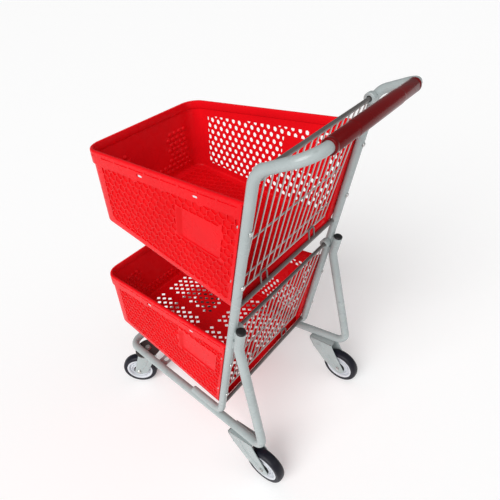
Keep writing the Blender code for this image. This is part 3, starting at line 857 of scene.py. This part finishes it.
def side_walls(shape, tier):
    """Both side walls: honeycomb cells round a smooth, slightly sunk label tray."""
    bottom = above_floor(EDGE_RADIUS)
    rear_top, front_top = wall_edge(WALL_OUTER, level(WALL_TOP))
    rear_low, front_low = wall_edge(WALL_OUTER, bottom)
    front_gap = 0.0160
    outline = [rear_top, front_top, front_low, rear_low]
    region = [
        (rear_top[0] + 0.0125, 0.0400), (front_top[0] - front_gap, 0.0400),
        (front_low[0] - front_gap - 0.002, front_low[1] - 0.0130),
        (rear_low[0] + 0.0135, rear_low[1] - 0.0115),
    ]
    quad = LABELS[tier]
    widened = [(quad[0][0] + 0.013, quad[0][1] - 0.001), quad[1], quad[2],
               (quad[3][0] + 0.013, quad[3][1] - 0.002)]
    label = rounded_ring(widened, 0.009, 5)
    shifts = ((-0.003, 0.0016), (0.0016, 0.0016), (0.0016, -0.0016), (-0.003, -0.0016))
    tray = rounded_ring([(x + dx, v + dv) for (x, v), (dx, dv) in zip(quad, shifts)], 0.009, 5)
    cells = honeycomb(region, widened, 0.0114)
    for _, sign in SIDES:

        def place(u, v, depth):
            return Vector((u, sign * (side_y(u, WALL_OUTER) - depth), v))

        shape.join(pierced(outline, cells, label, place, blind=sign > 0))
        points, faces = cup(levels_of(place, (label, 0.0), (tray, 0.0022)))
        # the tray's sides take the darker red: painted shade inside the sunk tray
        shape.add(points, faces[:-1], second=True)
        shape.add(points, faces[-1:])


def front_wall(shape, tier):
    """The front wall: a smooth middle, with raised studs at both sides and below."""
    corner = 2 + CORNER_STEPS
    _, half_top, _ = u_path(WALL_OUTER, level(WALL_TOP), [0.0, 1.0])[corner]
    _, half_low, depth_low = u_path(WALL_OUTER, above_floor(EDGE_RADIUS), [0.0, 1.0])[corner]

    def place(u, v, depth):
        return Vector((BASKET_LENGTH - WALL_OUTER + FRONT_LEAN * v / DEPTH_FRONT - depth, u, v))

    outline = [(-half_top, WALL_TOP), (half_top, WALL_TOP), (half_low, depth_low),
               (-half_low, depth_low)]
    region = [(-half_top + 0.004, 0.052), (half_top - 0.004, 0.052),
              (half_low - 0.002, depth_low - 0.012), (-half_low + 0.002, depth_low - 0.012)]
    lines = borders_of(region)
    studs, opened = [], []
    for row in range(-10, 12):
        for column in range(-12, 13):
            u = (column + (0.5 if row % 2 else 0.0)) * 0.0186
            v = 0.120 + row * 0.0158
            ring = oval((u, v), 0.0076, 0.0070, 16)
            inside = all((p[0] - q[0][0]) * q[1][0] + (p[1] - q[0][1]) * q[1][1] > 0.0
                         for p in ring for q in lines)
            if inside and (abs(u) >= 0.072 or v >= 0.152):
                is_open = tier == "upper" and 0.066 < u < 0.110 and v < 0.072
                (opened if is_open else studs).append(ring)
    shape.add(*skin(place, outline, opened, 0.0))
    shape.add(*skin(place, outline, opened + studs, WALL))
    for ring in opened:
        shape.add(*loft(levels_of(place, (ring, 0.0), (ring, WALL)), caps=False))
    for ring in studs:
        steps = ((1.0, WALL), (0.90, 0.0047), (0.70, 0.0060), (0.38, 0.0067))
        shape.add(*cup(levels_of(place, *((shrunk(ring, f), d) for f, d in steps))))


def corners_and_edge(shape):
    """The two front corners and the rounded edge from the walls to the floor.

    Returns the outlines where that edge meets the floor's outside and inside.
    """
    spaced = [k / 6 for k in range(7)]
    corner = slice(len(spaced), len(spaced) + CORNER_STEPS + 1)
    for flip in (1, -1):
        for inset in (WALL_OUTER, WALL_INNER):
            rings = [[(x, flip * y, d) for x, y, d in u_path(inset, depth_of, spaced)[corner]]
                     for depth_of in (level(WALL_TOP), above_floor(EDGE_RADIUS))]
            shape.add(*loft(rings, closed_ring=False, caps=False))
    outlines = []
    for inset, rise in ((WALL_OUTER, 0.0), (WALL_INNER, WALL)):
        rings = []
        for k in range(6):
            a = pi / 2 * k / 5
            rings.append(u_path(inset + EDGE_RADIUS * (1 - cos(a)),
                                above_floor(rise + EDGE_RADIUS * (1 - sin(a))), spaced))
        shape.add(*loft(rings, closed_ring=False, caps=False))
        outlines.append([(x, y) for x, y, _ in rings[-1]])
    return outlines


def floor_place(u, v, depth):
    return Vector((u, v, floor_depth(u) - depth))


def open_floor(shape, outline):
    """The lower floor: four groups of small square holes between solid bands."""
    lines = borders_of(outline, 0.014)
    holes = []
    for front_x in (0.5193, 0.2884):
        for row in range(12):
            for column in range(8):
                for _, sign in SIDES:
                    x = front_x - 0.0162 * row
                    y = sign * (0.0200 + 0.0237 * (column + (0.5 if row % 2 else 0.0)))
                    if any((x - p[0]) * n[0] + (y - p[1]) * n[1] < 0.006 for p, n in lines):
                        continue
                    h = 0.0080
                    corners = [(x - h, y), (x, y - h), (x + h, y), (x, y + h)]
                    holes.append(rounded_ring(corners, 0.0013, 3))
    shape.join(slab(outline, holes, floor_place, WALL))


def closed_floor(shape, outline, inner):
    """The upper floor, which shows no light: its cells are shallow and closed."""
    lines = borders_of(inner, 0.012)
    pads = []
    for row in range(-22, 23):
        for column in range(-14, 15):
            x = 0.3 + 0.0187 * row
            y = 0.0216 * (column + (0.5 if row % 2 else 0.0))
            ring = hexagon(x, y, 0.0106, 1e9)
            for line in lines:
                ring = clipped(ring, line) if ring else ring
            if len(ring) > 2 and abs(area(ring)) > 9e-5:
                pads.append(rounded_ring(ring, 0.0018, 2))
    shape.add(*skin(floor_place, outline, [], 0.0))
    shape.add(*skin(floor_place, inner, pads, WALL))
    for ring in pads:
        levels = levels_of(floor_place, (ring, WALL), (shrunk(ring, 0.90), 0.0016))
        # the pads take the darker red: painted shade in the shallow cells
        shape.add(*cup(levels), second=True)


def flanges(shape):
    """The flanges against the uprights, with each wall's rear edge."""
    corners = [(0.1905, 0.0010), (0.2292, 0.0010), (0.2292, 0.2580), (0.2150, 0.2960),
               (0.1905, 0.2960)]
    ring = rounded_ring(corners, 0.0035, 4)
    holes = [circle((UPRIGHT_Y, depth), 0.0031, 20) for depth in BOLT_DEPTHS]
    for _, sign in SIDES:

        def place(u, v, depth):
            return Vector((UPRIGHT_LEAN * v + depth * LEAN_LENGTH, sign * u, v))

        shape.join(slab(ring, holes, place, 0.004))


def basket_shape(tier):
    shape = rim_shape()
    side_walls(shape, tier)
    front_wall(shape, tier)
    outline, inner = corners_and_edge(shape)
    if tier == "lower":
        open_floor(shape, outline)
    else:
        closed_floor(shape, outline, inner)
    flanges(shape)
    return shape


def make_baskets(maker):
    behind = (FRAME_RADIUS + GAP) * LEAN_LENGTH
    for tier, rim in (("upper", UPPER_RIM_Z), ("lower", LOWER_RIM_Z)):
        shape = basket_shape(tier)
        x0 = upright_x(rim) + behind
        shape.points = [Vector((x0 + p.x, p.y, rim - p.z)) for p in shape.points]
        maker.piece(f"{tier}_basket_shell", shape, "red_plastic", [f"{tier}_basket"], sharp=0.55)

        tabs = Shape()
        for _, sign in SIDES:
            for a, b in WINDOWS:
                rings = []
                for out, trim in ((0.0030, 0.0), (0.0004, 0.0), (-0.0002, 0.0010)):
                    ring = rounded_ring(oblong(a + 0.0006 + trim, b - 0.0006 - trim,
                                               0.0212 + trim, 0.0266 - trim), 0.0010, 3)
                    rings.append([Vector((x0 + u, sign * (side_y(u, 0.0) - out), rim - v))
                                  for u, v in ring])
                tabs.join(Shape().add(*loft(rings)))
        maker.piece(f"{tier}_rim_tabs", tabs, "hub_plastic", body="frame", sharp=0.9)

        for row, depth in zip(("top", "bottom"), BOLT_DEPTHS):
            for side, sign in SIDES:
                spot = Vector((upright_x(rim - depth), sign * UPRIGHT_Y, rim - depth))
                forward = across_uprights()
                head = turned([(0.0060, -0.0004), (0.0060, 0.0010), (0.0050, 0.0024),
                               (0.0030, 0.0032), (0.0008, 0.0035)], 28, ring=False)
                bolt = aimed(head, spot - forward * (FRAME_RADIUS + GAP), -forward)
                stem = FRAME_RADIUS + 2 * GAP + 0.0046
                bolt.join(rod([spot, spot + forward * (stem + 0.0048)], 0.0025, 16))
                bolt.join(aimed(hexagon_head(0.0076, 0.0044, 0.0005), spot + forward * stem,
                                forward))
                maker.piece(f"{tier}_bolt_{row}_{side}", bolt, "zinc",
                            [f"{tier}_basket_bolt_{row}_{side}"])


# ---------------------------------------------------------------- gates


def make_gates(maker):
    for tier, z in (("upper", UPPER_ROD_Z), ("lower", LOWER_ROD_Z)):
        x = upright_x(z)
        shape = rod([(x, 0.2050, z), (x, -0.2050, z)], 0.0050, 32)
        for sign in (1, -1):
            shape.join(aimed(turned([(0.0050, 0.0), (0.0046, 0.0004), (0.0030, 0.0005)], 32,
                                    ring=False), (x, sign * 0.2050, z), (0, sign, 0)))
        maker.piece(f"{tier}_rod", shape, "dark_steel", [f"{tier}_gate_rod"], sharp=0.9)

        grid = Shape()
        pitch = 2 * GATE_HALF_WIDTH / 15
        for k in range(16):
            y = -GATE_HALF_WIDTH + k * pitch
            grid.join(rod([(0, y, -0.0042), (0, y, -GATE_HEIGHT)], 0.0019, 12))
            grid.join(bead((0, y, -0.0058), (0, 0, 1), 0.0020, 0.0010))
        for depth in (0.185, 0.308):
            reach = GATE_HALF_WIDTH + 0.0020
            grid.join(rod([(0.0034, -reach, -depth), (0.0034, reach, -depth)], 0.0021, 12))
        reach = GATE_HALF_WIDTH + 0.0021
        grid.join(rod([(0, -reach, -GATE_HEIGHT), (0, reach, -GATE_HEIGHT)], 0.0027, 16))
        lean = Matrix.Translation((x, 0, z)) @ Matrix.Rotation(-GATE_LEAN, 4, "Y")
        grid.moved(lean)
        # the wires are dark steel but take a lighter look: painted highlight on the thin wires
        maker.piece(f"{tier}_grid", grid, "dark_steel", [f"{tier}_gate_grid"], sharp=0.9,
                    look="gate_wire_painted_highlight")

        for side, sign in SIDES:
            length = UPRIGHT_Y - FRAME_RADIUS - GAP - EYE_INNER_Y
            if tier == "upper":
                length -= 0.0014
            outline = [(0.0068, 0.0008), (0.0076, 0.0), (0.0126, 0.0), (0.0135, 0.0007),
                       (0.0138, 0.0020), (0.0138, length - 0.0020), (0.0135, length - 0.0007),
                       (0.0126, length), (0.0068, length)]
            eye = aimed(turned(outline, 44), (x, sign * EYE_INNER_Y, z), (0, sign, 0))
            maker.piece(f"{tier}_eye_{side}", eye, "grey_paint", [f"{tier}_gate_eye_{side}"],
                        sharp=0.5)


# ---------------------------------------------------------------- casters


def wheel_shapes():
    half = [(0.0470, 0.0144), (0.0500, 0.0149), (0.0545, 0.0150), (0.0572, 0.0146),
            (0.0591, 0.0131), (0.0604, 0.0110), (0.0616, 0.0082), (0.0624, 0.0046)]
    tyre = mirrored(half)
    half = [(0.0088, 0.0134), (0.0200, 0.0134), (0.0222, 0.0130), (0.0236, 0.0112),
            (0.0246, 0.0062), (0.0282, 0.0060), (0.0298, 0.0112), (0.0312, 0.0120),
            (0.0328, 0.0112), (0.0342, 0.0058), (0.0382, 0.0058), (0.0396, 0.0124),
            (0.0412, 0.0144), (0.0446, 0.0148), (0.0467, 0.0144)]
    hub = mirrored(half)
    half = [(0.0048, 0.0172), (0.0118, 0.0172), (0.0126, 0.0164), (0.0134, 0.0156),
            (0.0182, 0.0154), (0.0196, 0.0160), (0.0212, 0.0156), (0.0220, 0.0144),
            (0.0220, 0.0139), (0.0085, 0.0139)]
    return turned(tyre, 72), turned(hub, 64), turned(mirrored(half), 48)


def axle_shape():
    outer = FORK_OUTER + GAP
    shape = turned([(0.0040, -outer - 0.0002), (0.0040, outer + 0.0002)], 24, ring=False)
    for sign in (1, -1):
        head = turned([(0.0070, 0.0), (0.0070, 0.0009), (0.0066, 0.0012)], 28, ring=False)
        head.join(hexagon_head(0.0108, 0.0046, 0.0009).moved(Matrix.Translation((0, 0, 0.0004))))
        shape.join(aimed(head, (0, 0, sign * outer), (0, 0, sign)))
    return shape


def put_wheel(maker, corner, matrix):
    tyre, hub, bush = wheel_shapes()
    spin = matrix @ Vector((0, 1, 0)).to_track_quat("Z", "Y").to_matrix().to_4x4()
    maker.piece(f"{corner}_tread", tyre.moved(spin), "tread", [f"{corner}_tyre"], sharp=0.8)
    maker.piece(f"{corner}_hub", hub.moved(spin), "hub_plastic", [f"{corner}_wheel_hub"],
                sharp=0.8)
    maker.piece(f"{corner}_bush", bush.moved(spin), "black_plastic", [f"{corner}_wheel_bush"],
                sharp=0.8)
    maker.piece(f"{corner}_axle", axle_shape().moved(spin), "zinc", [f"{corner}_axle_bolt"])


def cheeks(outline, axle, rib, bends, rib_radius):
    """The two side plates of a pressed fork, each with its axle hole and its pressed rib."""
    shape = Shape()
    hole = circle(axle, 0.0043, 24)
    for way in (1, -1):
        shape.join(slab(outline, [hole], flat_xz(way * FORK_INNER, way), PLATE, bent=True))
        path = rounded_path([(x, way * (FORK_OUTER - 0.0012), z) for x, z in rib], bends)
        shape.join(rod(path, rib_radius, 12))
    return shape


def make_rear_casters(maker):
    top = PLATE_TOP
    axle = (0.0, WHEEL_RADIUS)
    outline = [(0.112, top), (0.112, top - 0.010), (0.098, top - 0.040), (0.056, 0.072)]
    outline += arc_points(axle, 0.023, -0.80, -2.9, 18)
    outline += [(-0.001, 0.100), (0.012, 0.125), (0.024, top - 0.010), (0.024, top)]
    rib = [(0.066, top - 0.016), (0.060, 0.120), (0.040, 0.094), (0.012, 0.073)]
    for side, sign in SIDES:
        home = Matrix.Translation((REAR_AXLE_X, sign * REAR_WHEEL_Y, 0))
        shape = cheeks(outline, axle, rib, (0.02, 0.03), 0.0030)
        plate = oblong(0.024, 0.112, -FORK_OUTER, FORK_OUTER)
        shape.join(slab(plate, [], lambda u, v, d: Vector((u, v, top - d)), PLATE))
        # the front of the pressing joins the cheeks along their first three points
        shape.add(*loft([[(x, -FORK_OUTER, z), (x, FORK_OUTER, z),
                          (x - PLATE, FORK_OUTER, z), (x - PLATE, -FORK_OUTER, z)]
                         for x, z in outline[:3]]))
        shape.moved(home)
        maker.piece(f"rear_{side}_fork_pressing", shape, "grey_paint", [f"rear_{side}_fork"],
                    sharp=0.5, bevel=0.0009)
        put_wheel(maker, f"rear_{side}", home @ Matrix.Translation((0, 0, WHEEL_RADIUS)))


def make_front_casters(maker):
    bore = 0.0063
    disc = [(bore, PLATE_TOP - PLATE), (0.0450, PLATE_TOP - PLATE),
            (0.0459, PLATE_TOP - PLATE + 0.0008), (0.0459, PLATE_TOP - 0.0008),
            (0.0450, PLATE_TOP), (bore, PLATE_TOP)]
    race = [(bore, RACE_LOW), (0.0270, RACE_LOW), (0.0292, RACE_LOW + 0.0012),
            (0.0300, RACE_LOW + 0.0040), (0.0318, RACE_LOW + 0.0052),
            (0.0320, RACE_LOW + 0.0066), (0.0306, RACE_LOW + 0.0080),
            (0.0296, RACE_LOW + 0.0094), (0.0294, RACE_TOP), (bore, RACE_TOP)]
    nut_top = FORK_TOP - PLATE - 2 * GAP
    axle = (TRAIL, WHEEL_RADIUS)
    outline = [(-0.030, FORK_TOP), (-0.030, FORK_TOP - 0.008), (0.026, 0.052)]
    outline += arc_points(axle, 0.016, -2.2, 0.2, 14)
    outline += [(0.040, FORK_TOP - 0.010), (0.036, FORK_TOP)]
    rib = [(0.004, FORK_TOP - 0.014), (0.018, 0.100), (0.040, 0.074)]
    for side, sign in SIDES:
        spot = Matrix.Translation((SWIVEL_X, sign * SWIVEL_Y, 0))
        # plate and race take shaded_zinc: painted shade, since they sit in shade under the rail
        maker.piece(f"front_{side}_plate", turned(disc, 56).moved(spot), "grey_paint",
                    [f"front_{side}_caster_plate"], sharp=0.5, look="shaded_zinc")
        maker.piece(f"front_{side}_race", turned(race, 48).moved(spot), "zinc",
                    [f"front_{side}_swivel_race"], sharp=0.7, look="shaded_zinc")
        pin = turned([(0.0060, nut_top), (0.0060, PLATE_TOP + GAP)], 28, ring=False)
        pin.join(turned([(0.0110, PLATE_TOP + GAP), (0.0110, PLATE_TOP + 0.0012),
                         (0.0104, PLATE_TOP + 0.0016)], 32, ring=False))
        pin.join(hexagon_head(0.0170, 0.0072, 0.0012).moved(
            Matrix.Translation((0, 0, PLATE_TOP + 0.0014))))
        pin.join(turned([(0.0052, PLATE_TOP + 0.0080), (0.0046, PLATE_TOP + 0.0089),
                         (0.0020, PLATE_TOP + 0.0090)], 24, ring=False))
        pin.join(hexagon_head(0.0172, 0.0048, 0.0010).moved(
            Matrix.Translation((0, 0, nut_top)) @ Matrix.Rotation(pi, 4, "X")))
        maker.piece(f"front_{side}_pin", pin.moved(spot), "zinc", [f"front_{side}_kingpin"])

        swivel = spot @ Matrix.Rotation(sign * SWIVEL_ANGLE, 4, "Z")
        shape = cheeks(outline, axle, rib, (0.03,), 0.0028)
        plate = rounded_ring(oblong(-0.030, 0.036, -FORK_OUTER, FORK_OUTER), 0.004, 4)
        shape.join(slab(plate, [circle((0.0, 0.0), 0.0066, 28)],
                        lambda u, v, d: Vector((u, v, FORK_TOP - d)), PLATE))
        shape.moved(swivel)
        maker.piece(f"front_{side}_fork_pressing", shape, "grey_paint",
                    [f"front_{side}_swivel_fork"], sharp=0.5, bevel=0.0009)
        put_wheel(maker, f"front_{side}", swivel @ Matrix.Translation((TRAIL, 0, WHEEL_RADIUS)))


# ---------------------------------------------------------------- stage


def stage():
    reach = 30
    mesh = bpy.data.meshes.new("floor")
    corners = [(x, y, 0) for x, y in oblong(-reach, reach, -reach, reach)]
    mesh.from_pydata(corners, [], [(0, 1, 2, 3)])
    floor = bpy.data.objects.new("floor", mesh)
    bpy.context.scene.collection.objects.link(floor)
    pale = bpy.data.materials.new("stage_floor")
    pale.use_nodes = True
    shader = pale.node_tree.nodes["Principled BSDF"]
    shader.inputs["Base Color"].default_value = (0.8, 0.8, 0.8, 1.0)
    shader.inputs["Roughness"].default_value = 0.8
    shader.inputs["Specular IOR Level"].default_value = 0.1
    shader.inputs["Emission Color"].default_value = (1.0, 1.0, 1.0, 1.0)
    shader.inputs["Emission Strength"].default_value = 0.26
    mesh.materials.append(pale)


def light(name, towards, strength, softness):
    """A far, soft studio light: towards points from the trolley to the light."""
    lamp = bpy.data.lights.new(name, "SUN")
    lamp.energy = strength
    lamp.angle = softness
    made = bpy.data.objects.new(name, lamp)
    made.rotation_euler = Vector(towards).to_track_quat("Z", "Y").to_euler()
    bpy.context.scene.collection.objects.link(made)


def look():
    scene = bpy.context.scene
    world = bpy.data.worlds.new("studio")
    world.use_nodes = True
    sky = world.node_tree.nodes["Background"]
    sky.inputs["Color"].default_value = (1.0, 1.0, 1.0, 1.0)
    sky.inputs["Strength"].default_value = 0.22
    scene.world = world
    scene.view_settings.view_transform = "Standard"
    light("key", (-0.14, 0.78, 0.58), 2.9, 0.85)
    light("top", (-0.62, 0.05, 0.78), 0.55, 1.30)

    lens = bpy.data.cameras.new("camera")
    lens.lens = CAMERA_LENS
    lens.sensor_width = 36.0
    lens.clip_start = 0.02
    camera = bpy.data.objects.new("camera", lens)
    turn = Matrix((CAMERA_RIGHT, CAMERA_UP, CAMERA_BACK)).transposed().to_4x4()
    camera.matrix_world = Matrix.Translation(CAMERA_PLACE) @ turn
    scene.collection.objects.link(camera)
    scene.camera = camera


def main():
    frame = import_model()
    maker = Maker(frame)
    make_frame(maker)
    make_grip(maker)
    make_cross_bar(maker)
    make_cross_tubes(maker)
    make_baskets(maker)
    make_gates(maker)
    make_rear_casters(maker)
    make_front_casters(maker)
    for name in sorted(set(maker.nodes) - maker.covered):
        print("CAD node still shown:", name)
    stage()
    look()


main()
